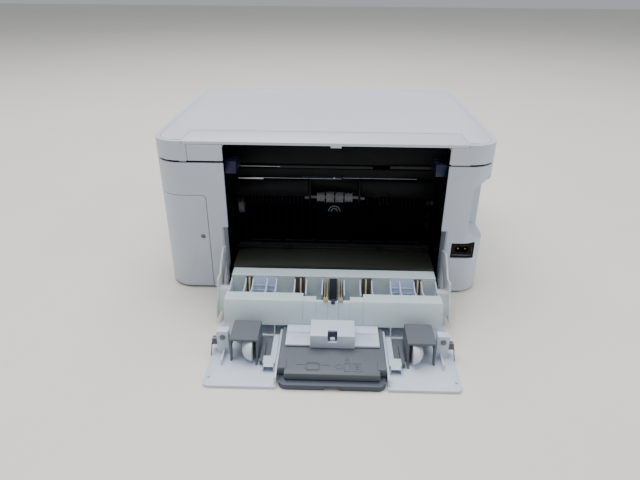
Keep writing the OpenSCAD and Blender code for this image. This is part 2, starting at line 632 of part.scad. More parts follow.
module scanner_tub() color([0.05, 0.05, 0.055]) difference() {
  union() {
    bx(-in_x, in_x, 52, body_d - corner_r - 2, skirt_z + 2, skirt_z + 4);
    bx(-hw + corner_r + 2, hw - corner_r - 2, 52, body_d - wall, skirt_z + 2, skirt_z + 4);
    bx(sx0 - 8, sx1 + 8, 52, 54, skirt_z + 3, top - 7);
    for (x = [-162, 158]) bx(x, x + 4, 160, 176, skirt_z + 3, top - 12);
    cyx(-159, 159, 168, top - 19, 3);
  }
  for (x = [-120 : 30 : 120]) bx(x - 8, x + 8, 80, 86, skirt_z, skirt_z + 5);
}

module scan_glass() color([0.7, 0.8, 0.82, 0.5])
  bx(-glass_w / 2, glass_w / 2, glass_d0, glass_d0 + glass_d, top - 7, top - 4.2);

module scan_bar() color([0.12, 0.12, 0.13]) difference() {
  union() {
    bx(-148, -132, glass_d0 + 6, glass_d0 + glass_d - 6, top - 24, top - 8.5);
    bx(-150, -130, 156, 180, top - 24, top - 14);
  }
  cyx(-151, -129, 168, top - 19, 3.07);
  bx(-142, -138, glass_d0 + 10, glass_d0 + glass_d - 10, top - 10, top);
}

module document_lid() color([0.86, 0.87, 0.9]) {
  difference() {
    rb(-hw + rim_w + 0.5, hw - rim_w - 0.5, rim_w + 0.5, body_d - rim_w - 0.5, top - 3, top, corner_r - rim_w - 0.5);
    bx(-flap_hw - 0.6, flap_hw + 0.6, 0, flap_d + 0.7, top - 4, top + 1);
    bx(slot_off - 33, slot_off + 33, body_d - rim_w - 2.5, body_d, top - 4, top + 1);
    for (x = [-hw, flap_hw + 2.3]) bx(x, x + hw - flap_hw - 2.3, 0, 8.2, top - 1.2, top + 1);
  }
  for (x = [-178, 162]) bx(x + 2, x + 14, 12, 30, top - 11, top - 2.9);
  for (x = [-flap_hw - 2, flap_hw + 0.3]) cyx(x, x + 1.7, lid_pin[0], top - lid_pin[1], 0.9);
}

module lid_pad() color([0.93, 0.93, 0.92])
  bx(-glass_w / 2 + 3, glass_w / 2 - 3, glass_d0 + 3, glass_d0 + glass_d - 3, top - 3.9, top - 3);

module slot_cover() color([0.87, 0.88, 0.9]) {
  difference() {
    bx(-flap_hw, flap_hw, 0, flap_d - flap_r, top - 2 * flap_r, top);
    bx(-flap_hw + 8, flap_hw - 8, 6, flap_d - 6, top - 4, top - 1.6);
  }
  cyx(-flap_hw, flap_hw, flap_d - flap_r, top - flap_r, flap_r);
  bx(slot_off - 6, slot_off + 6, 1, 3.5, top - 5.6, top - 2.9);
}

// ---------------------------------------------------------------- rear door, open
uy = guide_h - 43;
turn = [
  [24, 3], [25, 30], [25.5, 43.5 + uy], [41, 43 + uy], [44, 34], [47, 24], [52, 15], [58, 11],
  [64, 12], [69, 18], [72, 28], [73.5, 41 + uy], [88, 41 + uy], [91.5, 34], [94, 25], [96.5, 14], [100, 3]];

module door_panel() color([0.88, 0.89, 0.91]) {
  difference() {
    union() {
      dr(-half, half, 2, reach - 6, 0, door_t);
      dr(-half + 6, half - 6, 2, reach, 0, door_t);
      for (x = [-half + 6, half - 6]) cyz(slot_off + x, -reach + 6, 0, door_t, 6);
      for (x = [-100, -58, 58, 100]) {
        dr(x - 2, x + 5, -hinge, 3, 1.4, 6.4);
        cyx(slot_off + x - 2, slot_off + x + 5, hinge, hinge, 2.6);
        cyx(slot_off + x - 6.8, slot_off + x, hinge, hinge, 1.2);
      }
    }
    dr(-support_hw - 0.5, support_hw + 0.5, 92, reach + 1, -1, door_t + 1);
    for (x = [-100, -58, 58, 100]) dr(x - 7.2, x - 2, 1, 7, -1, 4);
  }
  for (x = [-103.5, -60, 60, 103.5]) difference() {
    dr(x - 1.5, x + 1.5, 53, 61, door_t - 0.5, 10.6);
    cyx(slot_off + x - 2, slot_off + x + 2, -57, 9, 1.16);
  }
  twin() {
    translate([-slot_off, 0, 0]) dr(support_hw + 0.5, support_hw + 2.5, 98, reach - 4, door_t - 0.5, 11);
    translate([-slot_off, 0, 0]) dr(108, 120, 122, 131, door_t - 0.5, 30);
    translate([-slot_off, 0, 0]) dr(112, 113.5, 131, 150, door_t - 0.5, 9);
  }
}

module turn_guide() color([0.9, 0.93, 0.93, 0.8]) {
  difference() {
    translate([slot_off - 119, 0, 0]) rotate([90, 0, 90]) linear_extrude(height = 238)
      polygon([for (p = band(turn, 1.8)) [yr + p[0], p[1]]]);
    dr(-support_hw - 3, support_hw + 3, 90, 110, 0, 15);
    for (x = [-98, -38, 38, 98]) dr(x - 4.5, x + 4.5, 46, 70, 5, 24);
    for (x = [-79, 79]) dr(x - 10, x + 10, 40, 47, 22, 38);
    for (x = [-62, 62]) dr(x - 7, x + 7, 40, 47, 22, 38);
  }
  for (i = [-5 : 5]) if (abs(i) > 0) translate([slot_off + i * 21.2 - 0.6, 0, 0]) rotate([90, 0, 90])
    linear_extrude(height = 1.2) polygon([for (p = [[74.5, 15], [75.2, 39.5 + uy], [87, 39.5 + uy],
      [90, 33], [92.5, 24.5], [94, 18], [94.4, 15]]) [yr + p[0], p[1]]]);
}

cheek = [
  [4, 63], [22, 68], [36, 58], [46, 48], [58, 50], [62, 44], [63, 34], [71, 24], [77, 8],
  [60, 8], [44, 12], [36, 24], [26, 38], [8, 48]];

module guide_cheeks() color([0.89, 0.92, 0.92, 0.85]) twin() {
  translate([half + 4, 0, 0]) rotate([90, 0, 90]) linear_extrude(height = 2)
    polygon([for (p = cheek) [yr + p[0], p[1]]]);
  translate([119, 0, 0]) rotate([90, 0, 90]) linear_extrude(height = half + 4.2 - 119)
    polygon([for (p = [[46, 14], [46, 34], [56, 38], [61, 38], [62, 32], [68, 24], [72, 14]]) [yr + p[0], p[1]]]);
}

module guide_idlers() color([0.9, 0.85, 0.65]) {
  for (x = [-98, -38, 38, 98]) cyx(slot_off + x - 3.6, slot_off + x + 3.6, -57, 9, 5.2);
  cyx(slot_off - 106, slot_off + 106, -57, 9, 1.1);
}

module guide_pad() color([0.04, 0.04, 0.04])
  translate([slot_off - 5, 0, 0]) rotate([90, 0, 90]) linear_extrude(height = 10)
    polygon([for (q = concat([for (i = [3 : 10]) turn[i] + 1.9 * perp(turn, i)],
      [for (i = [10 : -1 : 3]) turn[i] + 3.1 * perp(turn, i)])) [yr + q[0], q[1]]]);

module latch_box() color([0.92, 0.93, 0.94]) difference() {
  union() {
    dr(-49, 49, 98.3, 132, 14.6, 16.8);
    dr(-23, 23, 106, 134, 14.6, 30);
    sidep(slot_off - 23, slot_off + 23, [[-98.6, 14.8], [-98.6, 18], [-106, 30], [-112, 30], [-112, 14.8]]);
  }
  dr(-21, 21, 108, 132, 16.8, 28);
  dr(-5, 5, 124, 136, 22, 31);
}

module paper_guides() color([0.45, 0.46, 0.47]) twin() translate([-slot_off, 0, 0]) {
  difference() {
    dr(76, 98, 107, 139, door_t, 28);
    dr(78, 96, 109, 141, door_t - 1, 26);
    sidep(slot_off + 70, slot_off + 100, [[-145, 2], [-145, 40], [-126, 40], [-130, 26], [-137, 4], [-137, 2]]);
  }
  dr(58, 76.5, 104, 138, door_t, 5);
  difference() {
    translate([slot_off + 80.5, yr + 124, door_t + 11.6]) sphere(r = 11.4);
    dr(60, 80.5, 100, 150, 0, 40);
    dr(60, 120, 100, 109.2, 0, 40);
    dr(60, 120, 100, 150, 0, door_t);
  }
}

module door_hardware() color([0.5, 0.5, 0.52]) twin() translate([-slot_off, 0, 0]) {
  for (i = [0 : 4]) translate([slot_off + 120.8 + 1.15 * i, yr + 124, 14]) rotate([0, 90, 0])
    rotate_extrude() translate([3.4, 0]) circle(r = 0.75, $fn = 16);
  cyx(slot_off + 120, slot_off + 126, -124, 14, 1.4);
  translate([slot_off + 114, yr + 117, door_t]) cylinder(h = 4, r = 3.2);
  translate([slot_off + 114, yr + 117, door_t + 4]) cylinder(h = 1.4, r = 2.2);
  translate([slot_off + 114, yr + 131, 22]) rotate([-90, 0, 0]) cylinder(h = 1.2, r = 2.6);
}

module paper_support() color([0.45, 0.46, 0.47]) difference() {
  union() {
    dr(-support_hw, support_hw, 76, reach - 14, 6.4, 14);
    dr(-support_hw + 7, support_hw - 7, 76, reach - 7, 6.4, 14);
  }
  dr(-support_hw + 6, support_hw - 6, 80, reach - 16, 5, 11.6);
}

module support_extension() color([0.36, 0.38, 0.42]) difference() {
  union() {
    dr(-ext_hw, ext_hw, 103, reach - 8, 0, 6);
    dr(-ext_hw + 8, ext_hw - 8, 103, reach, 0, 6);
    for (x = [-ext_hw + 8, ext_hw - 8]) cyz(slot_off + x, -reach + 8, 0, 6, 8);
  }
  dr(-ext_hw + 8, ext_hw - 8, 107, reach - 12, -1, 3.6);
  dr(-8, 8, reach - 5, reach + 1, -1, 4.2);
}

base_pan();
rubber_feet();
lower_shell();
side_access_cover();
side_cover_screw();
power_inlet();
power_supply();
main_board();
side_frames();
slot_guides();
sill_deck();
inner_turn_guide();
upper_feed_frame();
rear_feed_roller();
main_feed_roller();
pinch_rollers();
platen();
eject_roller();
star_wheels();
idler_gear();
drive_motors();
motor_pinion();
carriage_rail();
drive_belt();
drive_pulley();
tail_pulley();
print_carriage();
ink_cartridges();
maintenance_station();
pickup_arm();
pickup_roller();
cassette_tray();
cassette_front();
width_guide_left();
width_guide_right();
output_tray();
paper_stopper();
control_panel();
touch_screen();
power_button();
stop_button();
start_button();
scanner_frame();
rear_band_panel();
scanner_tub();
scan_glass();
scan_bar();
document_lid();
lid_pad();
slot_cover();
door_panel();
turn_guide();
guide_cheeks();
guide_idlers();
guide_pad();
latch_box();
paper_guides();
door_hardware();
paper_support();
support_extension();
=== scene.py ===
import json
import math
import bmesh
import bpy
from mathutils import Matrix, Vector


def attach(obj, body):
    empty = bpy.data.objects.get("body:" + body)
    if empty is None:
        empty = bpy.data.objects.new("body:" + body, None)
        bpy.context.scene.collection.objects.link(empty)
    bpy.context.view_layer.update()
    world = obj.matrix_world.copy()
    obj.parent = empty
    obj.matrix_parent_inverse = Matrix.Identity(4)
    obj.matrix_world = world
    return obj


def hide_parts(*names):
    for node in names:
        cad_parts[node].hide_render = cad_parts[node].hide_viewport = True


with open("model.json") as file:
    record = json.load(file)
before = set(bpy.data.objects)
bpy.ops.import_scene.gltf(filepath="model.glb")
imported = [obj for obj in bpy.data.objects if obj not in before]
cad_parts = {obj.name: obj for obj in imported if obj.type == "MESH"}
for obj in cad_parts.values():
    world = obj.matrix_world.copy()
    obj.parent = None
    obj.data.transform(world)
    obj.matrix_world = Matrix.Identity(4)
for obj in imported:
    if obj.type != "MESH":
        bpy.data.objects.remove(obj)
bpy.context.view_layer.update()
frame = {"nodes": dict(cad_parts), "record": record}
NODES = frame["nodes"]
MM = 0.001
REAR = 62.0                      # the rear face's y, in mm
SLOT = -13.0                     # centre of the rear opening, x in mm
GUIDE_HALF = 119                 # half the turn guide's width, in mm
RIB_PITCH = 21.2                 # spacing of the turn guide's ribs, in mm
FOCAL_PER_WIDTH = 521.06 / 640   # the camera's focal length over the image width
BODY_OF = {n: b for b, ns in frame["record"]["behaviour"]["bodies"].items() for n in ns}


# ------------------------------------------------------------------ materials
def tree(name):
    m = bpy.data.materials.new(name)
    m.use_nodes = True
    nt = m.node_tree
    return m, nt, nt.nodes["Principled BSDF"]


def noise(nt, scale, detail=4.0, rough=0.55, stretch=None):
    co = nt.nodes.new("ShaderNodeTexCoord")
    n = nt.nodes.new("ShaderNodeTexNoise")
    n.inputs["Scale"].default_value = scale
    n.inputs["Detail"].default_value = detail
    n.inputs["Roughness"].default_value = rough
    src = co.outputs["Object"]
    if stretch:
        mp = nt.nodes.new("ShaderNodeMapping")
        mp.inputs["Scale"].default_value = stretch
        nt.links.new(src, mp.inputs["Vector"])
        src = mp.outputs["Vector"]
    nt.links.new(src, n.inputs["Vector"])
    return n.outputs["Fac"]


def ramp(nt, fac, a, b, lo=0.3, hi=0.7):
    r = nt.nodes.new("ShaderNodeValToRGB")
    r.color_ramp.elements[0].position = lo
    r.color_ramp.elements[1].position = hi
    r.color_ramp.elements[0].color = (*a, 1)
    r.color_ramp.elements[1].color = (*b, 1)
    nt.links.new(fac, r.inputs["Fac"])
    return r.outputs["Color"]


def span(nt, fac, lo, hi):
    r = nt.nodes.new("ShaderNodeMapRange")
    r.inputs["To Min"].default_value = lo
    r.inputs["To Max"].default_value = hi
    nt.links.new(fac, r.inputs["Value"])
    return r.outputs["Result"]


def bump(nt, bsdf, height, strength, distance):
    b = nt.nodes.new("ShaderNodeBump")
    b.inputs["Strength"].default_value = strength
    b.inputs["Distance"].default_value = distance
    nt.links.new(height, b.inputs["Height"])
    nt.links.new(b.outputs["Normal"], bsdf.inputs["Normal"])


def mul(c, k):
    return tuple(min(1.0, v * k) for v in c)


def plastic(name, color, rough=0.45, grain=2600, depth=0.00005, vary=0.04, spread=9, **more):
    """Moulded plastic: spark-eroded grain, broad tone drift and fine dust specks."""
    m, nt, bsdf = tree(name)
    broad = noise(nt, spread, 3)
    base = ramp(nt, broad, mul(color, 1 - vary), mul(color, 1 + vary))
    speck = ramp(nt, noise(nt, 420, 2), (0, 0, 0), (1, 1, 1), 0.68, 0.78)
    mix = nt.nodes.new("ShaderNodeMix")
    mix.data_type = "RGBA"
    nt.links.new(speck, mix.inputs["Factor"])
    nt.links.new(base, mix.inputs["A"])
    mix.inputs["B"].default_value = (*mul(color, 0.9 - vary), 1)
    nt.links.new(mix.outputs["Result"], bsdf.inputs["Base Color"])
    fine = noise(nt, grain, 2)
    nt.links.new(span(nt, noise(nt, 55, 3), rough - 0.05, rough + 0.07), bsdf.inputs["Roughness"])
    bump(nt, bsdf, fine, 0.35, depth)
    for k, v in more.items():
        bsdf.inputs[k.replace("_", " ")].default_value = v
    return m


def metal(name, color, rough=0.3, stretch=(1, 60, 60)):
    m, nt, bsdf = tree(name)
    lines = noise(nt, 90, 4, stretch=stretch)
    nt.links.new(ramp(nt, lines, mul(color, 0.86), mul(color, 1.1)), bsdf.inputs["Base Color"])
    nt.links.new(span(nt, lines, rough - 0.08, rough + 0.14), bsdf.inputs["Roughness"])
    bsdf.inputs["Metallic"].default_value = 1.0
    bump(nt, bsdf, lines, 0.2, 0.00003)
    return m


def rubber(name, color, rough=0.75):
    return plastic(name, color, rough, grain=1500, depth=0.0001, vary=0.12, spread=40)


def clear(name, color, rough, ior=1.49):
    m, nt, bsdf = tree(name)
    smear = noise(nt, 35, 4)
    nt.links.new(ramp(nt, smear, mul(color, 0.96), color), bsdf.inputs["Base Color"])
    nt.links.new(span(nt, smear, rough, rough + 0.06), bsdf.inputs["Roughness"])
    bsdf.inputs["Transmission Weight"].default_value = 1.0
    bsdf.inputs["IOR"].default_value = ior
    return m


MAT = {
    "shell": plastic("white_shell_plastic", (0.57, 0.61, 0.70), 0.42),
    "lid": plastic("lid_plastic", (0.63, 0.655, 0.73), 0.34, spread=5),
    "inner": plastic("white_inner_plastic", (0.60, 0.66, 0.76), 0.35),
    "guide": plastic("frosted_guide_plastic", (0.84, 0.92, 0.97), 0.2, grain=1400, vary=0.05, spread=14,
                     Transmission_Weight=0.28, IOR=1.45, Subsurface_Weight=0.35, Subsurface_Scale=0.006),
    "black": plastic("black_frame_plastic", (0.004, 0.004, 0.005), 0.6, vary=0.25, Specular_IOR_Level=0.2),
    "pit": plastic("deep_black_plastic", (0.002, 0.002, 0.0025), 0.7, vary=0.3, Specular_IOR_Level=0.06),
    "dark": plastic("dark_grey_plastic", (0.017, 0.018, 0.02), 0.5, vary=0.15, Specular_IOR_Level=0.3),
    "mid": plastic("mid_grey_plastic", (0.105, 0.115, 0.135), 0.5, vary=0.06),
    "slate": plastic("slate_grey_plastic", (0.06, 0.075, 0.105), 0.45, vary=0.08),
    "olive": plastic("olive_grey_plastic", (0.05, 0.052, 0.042), 0.42, vary=0.1),
    "blue": plastic("blue_plastic", (0.002, 0.007, 0.05), 0.35, vary=0.2),
    "navy": plastic("guide_pad_rubber", (0.02, 0.026, 0.045), 0.6, vary=0.2),
    "cell": plastic("guide_shaded_plastic", (0.40, 0.46, 0.47), 0.35, vary=0.08, spread=30),
    "lilac": plastic("guide_lilac_plastic", (0.50, 0.56, 0.72), 0.35, vary=0.08, spread=40),
    # painted shade: a dark brown sheet standing in for the shadow in the recess under the turn guide
    "recess_shade": plastic("guide_recess_shadow", (0.06, 0.052, 0.046), 0.6, vary=0.25, spread=60),
    "khaki": plastic("khaki_plastic", (0.34, 0.31, 0.19), 0.42, vary=0.15, spread=60),
    "dome": plastic("smooth_white_plastic", (0.62, 0.65, 0.70), 0.25, vary=0.04),
    "silver": metal("bright_edge_metal", (0.5, 0.51, 0.53), 0.35),
    "cream": plastic("cream_plastic", (0.72, 0.63, 0.38), 0.4, vary=0.08),
    "steel": metal("zinc_plated_steel", (0.62, 0.63, 0.65), 0.3),
    "darksteel": metal("dark_steel", (0.2, 0.2, 0.21), 0.35),
    "brass": metal("brass_metal", (0.62, 0.48, 0.2), 0.3),
    "rubber": rubber("black_rubber", (0.014, 0.014, 0.015)),
    "grip": rubber("grey_roller_rubber", (0.16, 0.165, 0.17)),
    "board": plastic("circuit_board_mask", (0.012, 0.09, 0.035), 0.35, grain=700, vary=0.3, spread=60),
    "glass": clear("scanner_glass", (0.92, 0.97, 0.96), 0.02),
    "screen": plastic("screen_cover", (0.008, 0.01, 0.014), 0.12, grain=300, depth=0.000005),
    "foam": plastic("white_foam_pad", (0.72, 0.72, 0.70), 0.85, grain=700, depth=0.0002),
    "key": plastic("button_plastic", (0.45, 0.46, 0.48), 0.4),
    "red": plastic("red_button_plastic", (0.5, 0.05, 0.04), 0.35),
    "green": plastic("green_button_plastic", (0.04, 0.3, 0.1), 0.35),
}


# ------------------------------------------------------------------ piece making
def put(name, body, mat, bm=None, mesh=None):
    if mesh is None:
        mesh = bpy.data.meshes.new(name)
        bm.to_mesh(mesh)
        bm.free()
    o = bpy.data.objects.new(name, mesh)
    bpy.context.scene.collection.objects.link(o)
    mesh.materials.clear()
    mesh.materials.append(MAT[mat])
    for p in mesh.polygons:
        p.use_smooth = True
    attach(o, body)
    return o


def soften(node, mat, width=0.4, segments=2, angle=32):
    """A copy of a CAD node with rounded edges, which stands for it."""
    mesh = NODES[node].data.copy()
    bm = bmesh.new()
    bm.from_mesh(mesh)
    bmesh.ops.remove_doubles(bm, verts=bm.verts, dist=2e-6)
    mesh2 = bpy.data.meshes.new(node + "_soft")
    bm.to_mesh(mesh2)
    bm.free()
    o = put(node + "_piece", BODY_OF[node], mat, mesh=mesh2)
    b = o.modifiers.new("edges", "BEVEL")
    b.width = width * MM
    b.segments = segments
    b.limit_method = "ANGLE"
    b.angle_limit = math.radians(angle)
    b.use_clamp_overlap = True
    b.harden_normals = True
    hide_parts(node)
    return o


LOOK = {
    "lower_shell": ("shell", 0.7, 3), "side_access_cover": ("shell", 0.5, 2), "side_cover_screw": ("darksteel", 0.2, 2),
    "scanner_frame": ("shell", 0.8, 3), "rear_band_panel": ("shell", 0.3, 2), "document_lid": ("lid", 0.7, 3),
    "slot_cover": ("lid", 0.9, 3), "door_panel": ("inner", 0.5, 2),
    "guide_cheeks": ("guide", 0.4, 2), "guide_idlers": ("cream", 0.3, 2),
    "latch_box": ("inner", 0.5, 2),
    "paper_support": ("mid", 0.8, 3), "support_extension": ("slate", 0.8, 3), "rubber_feet": ("rubber", 0.5, 2),
    "power_inlet": ("black", 0.3, 2), "side_frames": ("pit", 0.3, 1), "slot_guides": ("blue", 0.4, 2),
    "sill_deck": ("olive", 0.3, 1), "inner_turn_guide": ("pit", 0.25, 1), "upper_feed_frame": ("black", 0.25, 1),
    "rear_feed_roller": ("grip", 0.3, 2), "main_feed_roller": ("grip", 0.2, 1), "pinch_rollers": ("cream", 0.2, 1),
    "platen": ("pit", 0.2, 1), "eject_roller": ("rubber", 0.2, 1), "star_wheels": ("steel", 0.1, 1),
    "idler_gear": ("cream", 0.1, 1), "drive_motors": ("steel", 0.4, 2), "motor_pinion": ("brass", 0.1, 1),
    "carriage_rail": ("steel", 0.2, 1), "drive_belt": ("rubber", 0.1, 1), "drive_pulley": ("cream", 0.2, 1),
    "tail_pulley": ("cream", 0.2, 1), "print_carriage": ("dark", 0.4, 2), "ink_cartridges": ("black", 0.5, 2),
    "maintenance_station": ("dark", 0.4, 2), "pickup_arm": ("black", 0.3, 1), "pickup_roller": ("grip", 0.4, 2),
    "cassette_tray": ("dark", 0.4, 2), "cassette_front": ("shell", 0.6, 3), "width_guide_left": ("blue", 0.4, 2),
    "width_guide_right": ("blue", 0.4, 2), "output_tray": ("dark", 0.3, 2), "paper_stopper": ("dark", 0.4, 2),
    "control_panel": ("black", 0.5, 3), "touch_screen": ("screen", 0.3, 2), "power_button": ("key", 0.4, 3),
    "stop_button": ("red", 0.4, 3), "start_button": ("green", 0.4, 3), "scanner_tub": ("black", 0.4, 1),
    "scan_glass": ("glass", 0.2, 1), "scan_bar": ("black", 0.3, 2), "lid_pad": ("foam", 0.2, 2),
    "base_pan": ("dark", 0.3, 1), "power_supply": ("steel", 0.4, 2), "main_board": ("board", 0.1, 1),
}
PIECES = {n: soften(n, *v) for n, v in LOOK.items()}


# ------------------------------------------------------------------ shape helpers (mm in, metres out)
def quad_box(bm, x0, x1, y0, y1, z0, z1):
    v = [bm.verts.new((x * MM, y * MM, z * MM)) for x in (x0, x1) for y in (y0, y1) for z in (z0, z1)]
    for f in ((0, 1, 3, 2), (4, 6, 7, 5), (0, 4, 5, 1), (2, 3, 7, 6), (0, 2, 6, 4), (1, 5, 7, 3)):
        bm.faces.new([v[i] for i in f])


def prism(bm, pts, x0, x1):
    """A side outline of [y, z] points drawn out along x."""
    a = [bm.verts.new((x0 * MM, y * MM, z * MM)) for y, z in pts]
    b = [bm.verts.new((x1 * MM, y * MM, z * MM)) for y, z in pts]
    bm.faces.new(a)
    bm.faces.new(b[::-1])
    n = len(pts)
    for i in range(n):
        bm.faces.new((a[i], b[i], b[(i + 1) % n], a[(i + 1) % n]))


def tube(bm, pts, r, n=12):
    """A round bar of radius r along a list of points."""
    pts = [Vector(p) * MM for p in pts]
    rings = []
    for i, p in enumerate(pts):
        d = (pts[min(i + 1, len(pts) - 1)] - pts[max(i - 1, 0)]).normalized()
        side = d.cross(Vector((0.3, 0.1, 1))).normalized()
        up = side.cross(d)
        rings.append([bm.verts.new(p + r * MM * (math.cos(t) * side + math.sin(t) * up))
                      for t in (2 * math.pi * k / n for k in range(n))])
    for q, w in zip(rings, rings[1:]):
        for k in range(n):
            bm.faces.new((q[k], q[(k + 1) % n], w[(k + 1) % n], w[k]))
    bm.faces.new(rings[0][::-1])
    bm.faces.new(rings[-1])


def door(bm, r0, r1, s0, s1, z0, z1):
    quad_box(bm, SLOT + r0, SLOT + r1, REAR + s0, REAR + s1, z0, z1)


def inside(bm, x0, x1, d0, d1, z0, z1):
    quad_box(bm, x0, x1, REAR - d1, REAR - d0, z0, z1)


def finish_piece(name, body, mat, bm, width=0.25, segments=2, old=()):
    bmesh.ops.recalc_face_normals(bm, faces=bm.faces)
    o = put(name, body, mat, bm=bm)
    b = o.modifiers.new("edges", "BEVEL")
    b.width = width * MM
    b.segments = segments
    b.limit_method = "ANGLE"
    b.angle_limit = math.radians(35)
    b.harden_normals = True
    if old:
        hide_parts(*old)
    return o


def offset(path, t):
    out = []
    for i, p in enumerate(path):
        a, b = path[max(i - 1, 0)], path[min(i + 1, len(path) - 1)]
        l = math.hypot(b[0] - a[0], b[1] - a[1])
        out.append((p[0] - t * (b[1] - a[1]) / l, p[1] + t * (b[0] - a[0]) / l))
    return out


def band(bm, path, r0, r1, t=1.8, lift=0.0):
    p = offset(path, lift)
    q = offset(path, lift + t)
    prism(bm, [(REAR + a, z) for a, z in p + q[::-1]], SLOT + r0, SLOT + r1)


# ------------------------------------------------------------------ the frosted paper-turn guide
FAR = [(24, 3.2), (25, 30), (25.5, 43.2), (41, 42.7)]
TROUGH = [(41, 42.7), (44, 34), (47, 24), (52, 15), (58, 11), (64, 12), (69, 18), (72, 28), (73.5, 40.7)]
NEAR = [(73.5, 40.7), (88, 40.7), (91.5, 34), (94, 25), (96.3, 15)]
FOOT = [(96.3, 15), (98, 9), (100, 3.6)]
TROUGH_MID = TROUGH[:5] + [(66, 12), (73, 17), (77.5, 28), (79.5, 40.7)]
NEAR_MID = [(79.5, 40.7)] + NEAR[1:]
TROUGH_IN = TROUGH[:5] + [(68, 12), (78, 16), (84, 26), (86.5, 40.7)]
NEAR_IN = [(86.5, 40.7)] + NEAR[1:]
POSTS = [118.4, 101.8, 93.2, 77, 66, 44.6, 31, 12.6]


def turn_guide():
    frost = bmesh.new()
    band(frost, FAR, -GUIDE_HALF, GUIDE_HALF)
    for a, b, near in ((33, GUIDE_HALF, NEAR), (18.5, 33, NEAR_MID), (6, 18.5, NEAR_IN)):
        band(frost, near, a, b)
        band(frost, near, -b, -a)
    band(frost, NEAR_IN, -6, 6)
    for s in (-1, 1):
        door(frost, *sorted((s * 57.5, s * GUIDE_HALF)), 99.4, 101.6, 3.1, 4.6)
        for k in range(3, 6):
            x = s * k * RIB_PITCH
            prism(frost, [(REAR + a, z) for a, z in ((96, 20), (97.6, 15), (99.4, 9), (101.4, 3.2), (98, 3.2))],
                  SLOT + x - 0.7, SLOT + x + 0.7)
        for k in range(1, 6):
            x = s * k * RIB_PITCH
            prism(frost, [(REAR + a, z) for a, z in ((73.6, 15), (74.6, 39), (87, 39), (92.5, 24.5), (94.4, 15))],
                  SLOT + x - 0.6, SLOT + x + 0.6)
    finish_piece("turn_guide_body", "rear_door", "guide", frost, 0.5, 3, ("turn_guide",))
    posts = bmesh.new()
    for r in POSTS:
        for s in (-1, 1):
            prism(posts, [(REAR + a, z) for a, z in
                          ((42, 42), (45, 34), (48, 25), (53, 16.5), (63, 14), (70, 22), (73, 40), (72, 39.5),
                           (57, 37))],
                  SLOT + s * r - 0.7, SLOT + s * r + 0.7)
    finish_piece("turn_guide_ribs", "rear_door", "inner", posts, 0.2, 2)
    cells = {"cell": bmesh.new(), "lilac": bmesh.new(), "recess_shade": bmesh.new(), "guide": bmesh.new()}
    # the darkest spans are sheets of painted shade for the shadowed recess under the guide; the cell spans use the
    # shaded copy of the guide plastic
    spans = [(101.8, 118.9, "cell"), (93.2, 101.8, "recess_shade"), (77, 93.2, "lilac"), (66, 77, "lilac"), (44.6, 66, "cell"),
             (33, 44.6, "recess_shade"), (18.5, 33, "mid"), (6, 18.5, "in")]
    for a, b, kind in spans:
        for lo, hi in ((a, b), (-b, -a)):
            if kind == "mid":
                band(cells["cell"], TROUGH_MID, lo, hi)
            elif kind == "in":
                band(cells["cell"], TROUGH_IN, lo, hi)
            else:
                band(cells[kind], TROUGH, lo, hi, 1.4 if kind == "recess_shade" else 1.8)
    band(cells["cell"], TROUGH_IN, -6, 6)
    for s in (-1, 1):
        for z, sd in ((33, 45.4), (27.5, 47.2)):
            for a, b in ((66.8, 76.4), (77.6, 92.6)):
                door(cells["guide"], *sorted((s * a, s * b)), sd, sd + 1.2, z, z + 1.3)
    for kind, bm in cells.items():
        finish_piece("turn_guide_" + kind + "_cells", "rear_door", kind, bm, 0.15, 1)
    leaf = bmesh.new()
    for r in (97.5, 37.8, -37.8, -97.5):
        band(leaf, TROUGH[:8], r - 0.9, r + 0.9, 1.2, 3.4)
        door(leaf, r - 3.2, r + 3.2, 55.5, 58.5, 14.5, 17.5)
    finish_piece("cream_guide_leaves", "rear_door", "cream", leaf, 0.3, 2)
    olive = bmesh.new()
    for s in (-1, 1):
        for r in (6.9, 9.6):
            prism(olive, [(REAR + a, z) for a, z in ((44, 35.5), (52, 22), (66, 17), (84, 30), (88, 43), (90.5, 42.5),
                                                    (91, 45), (85, 45), (82, 38), (70, 30), (56, 30), (45, 42.5))],
                  SLOT + s * r - 0.7, SLOT + s * r + 0.7)
        door(olive, *sorted((s * 5.6, s * 10.8)), 84, 91, 42.6, 44.4)
    finish_piece("pad_holder_arms", "rear_door", "khaki", olive, 0.3, 2)
    pad = bmesh.new()
    band(pad, [(41, 42.7)] + TROUGH_IN[1:] + [(88, 40.7)], -4.2, 4.2, 1.3, 2.0)
    door(pad, -2.2, 2.2, 88, 92.5, 40.5, 44.2)
    finish_piece("black_guide_pad", "rear_door", "navy", pad, 0.4, 2, ("guide_pad",))


